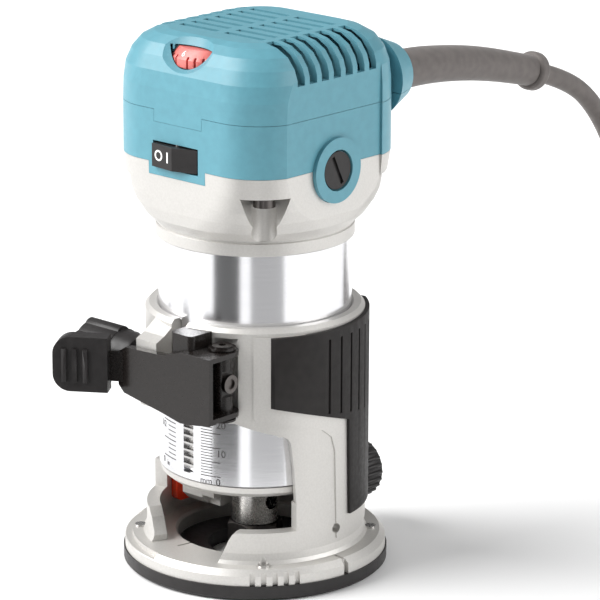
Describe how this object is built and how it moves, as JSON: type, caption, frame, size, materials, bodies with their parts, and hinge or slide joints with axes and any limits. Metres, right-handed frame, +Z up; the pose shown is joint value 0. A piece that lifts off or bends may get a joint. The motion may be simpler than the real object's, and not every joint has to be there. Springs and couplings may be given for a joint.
{
  "type": "trim router",
  "caption": "Corded trim router: a cylindrical motor with a boxy vented head, clamped in a round slotted base by a quick-release lever.",
  "frame": {"origin": "centre of the sub-base's bore, in its underside, on the spindle axis", "axes": "+Z up along the spindle, -Y towards the lever and the switch, +Y towards the cord, +X the side with the visible brush cap"},
  "size_m": [0.1124, 0.3902, 0.185],
  "materials": {
    "cast_aluminium": "cast, fine grained, satin",
    "turned_aluminium": "turned and polished",
    "steel": "ground",
    "black_steel": "gloss black",
    "rubber_grip": "matt moulded",
    "black_plastic": "fine texture",
    "teal_plastic": "satin moulded",
    "red_plastic": "gloss",
    "salmon_plastic": "satin",
    "cord_rubber": "matt",
    "copper": "enamelled wire",
    "brass": "drawn",
    "carbon": "pressed carbon",
    "lamination": "stacked laminations",
    "fan_plastic": "moulded",
    "nylon_tie": "matt"
  },
  "bodies": {
    "base": {"base_casting": "cast_aluminium", "sub_base_plate": "black_plastic", "sub_base_screws": "steel", "clamp_block": "black_steel", "grip_right": "rubber_grip", "grip_left": "rubber_grip", "lever_trunnion": "steel", "trunnion_clips": "steel", "cord_coil": "cord_rubber", "cord_tie": "nylon_tie", "plug_body": "black_plastic", "plug_pins": "brass", "plug_lead": "cord_rubber"},
    "lock_lever": {"lever_plate": "black_steel", "lever_pad": "black_plastic"},
    "depth_adjuster": {"adjuster_shaft": "steel", "adjuster_knob": "black_plastic", "adjuster_washer": "steel", "adjuster_pinion": "steel", "adjuster_cap": "steel"},
    "thumbscrew": {"thumbscrew_knob": "black_plastic", "thumbscrew_stud": "steel"},
    "motor": {"barrel": "turned_aluminium", "depth_rack": "steel", "nose_cap": "cast_aluminium", "lock_guide": "cast_aluminium", "lock_spring": "steel", "motor_housing": "cast_aluminium", "lower_cover": "teal_plastic", "top_cover": "teal_plastic", "housing_screws": "steel", "brush_holders": "brass", "brushes": "carbon", "brush_springs": "steel", "brush_caps": "black_plastic", "stator_core": "lamination", "field_coils": "copper", "fan_baffle": "fan_plastic", "bearing_outer_rings": "steel", "bearing_bridge": "black_plastic", "switch_body": "black_plastic", "switch_pin": "steel", "speed_board": "fan_plastic", "dial_post": "black_plastic", "cord_clamp": "black_plastic", "cord_guard": "cord_rubber", "power_cord": "cord_rubber"},
    "rocker": {"switch_rocker": "black_plastic"},
    "dial": {"speed_dial": "salmon_plastic"},
    "spindle": {"spindle": "steel", "bearing_inner_rings": "steel", "bearing_balls": "steel", "armature_core": "lamination", "armature_windings": "copper", "commutator": "copper", "fan": "fan_plastic", "collet_cone": "steel"},
    "nut": {"collet_nut": "steel"},
    "spindle_lock": {"lock_button": "red_plastic", "lock_pin": "steel"}
  },
  "joints": [
    {"name": "motor_slide", "type": "slide", "parent": "base", "child": "motor", "axis": [0, 0, 1], "range_m": [-0.004, 0.025], "deforming": ["power_cord"]},
    {"name": "depth_adjust_turn", "type": "hinge", "parent": "base", "child": "depth_adjuster", "pos_m": [0, -0.0359, 0.0742], "axis": [1, 0, 0], "range_deg": [-60, 362]},
    {"name": "lever_swing", "type": "hinge", "parent": "base", "child": "lock_lever", "pos_m": [0.019, -0.0359, 0.074], "axis": [0, 0, 1], "range_deg": [0, 85]},
    {"name": "thumbscrew_turn", "type": "hinge", "parent": "base", "child": "thumbscrew", "pos_m": [0, 0.05, 0.0186], "axis": [0, 1, 0], "range_deg": [-90, 720]},
    {"name": "power_switch", "type": "hinge", "parent": "motor", "child": "rocker", "pos_m": [-0.0018, -0.0346, 0.146], "axis": [0, 0, -1], "range_deg": [0, 14]},
    {"name": "speed_dial_turn", "type": "hinge", "parent": "motor", "child": "dial", "pos_m": [-0.0006, -0.0184, 0.178], "axis": [0, 0, 1], "range_deg": [-240, 0]},
    {"name": "spindle_spin", "type": "hinge", "parent": "motor", "child": "spindle", "pos_m": [0, 0, 0.1], "axis": [0, 0, 1], "continuous": true},
    {"name": "collet_nut_turn", "type": "hinge", "parent": "spindle", "child": "nut", "pos_m": [0, 0, 0.009], "axis": [0, 0, 1], "range_deg": [0, 720]},
    {"name": "spindle_lock_press", "type": "slide", "parent": "motor", "child": "spindle_lock", "axis": [1, 0, 0], "range_m": [0, 0.003], "stiffness_N_per_m": 300, "springref_m": -0.002, "deforming": ["lock_spring"]}
  ],
  "couplings": [
    {"joint": "depth_adjust_turn", "follows": "motor_slide", "rad_per_m": 250}
  ]
}
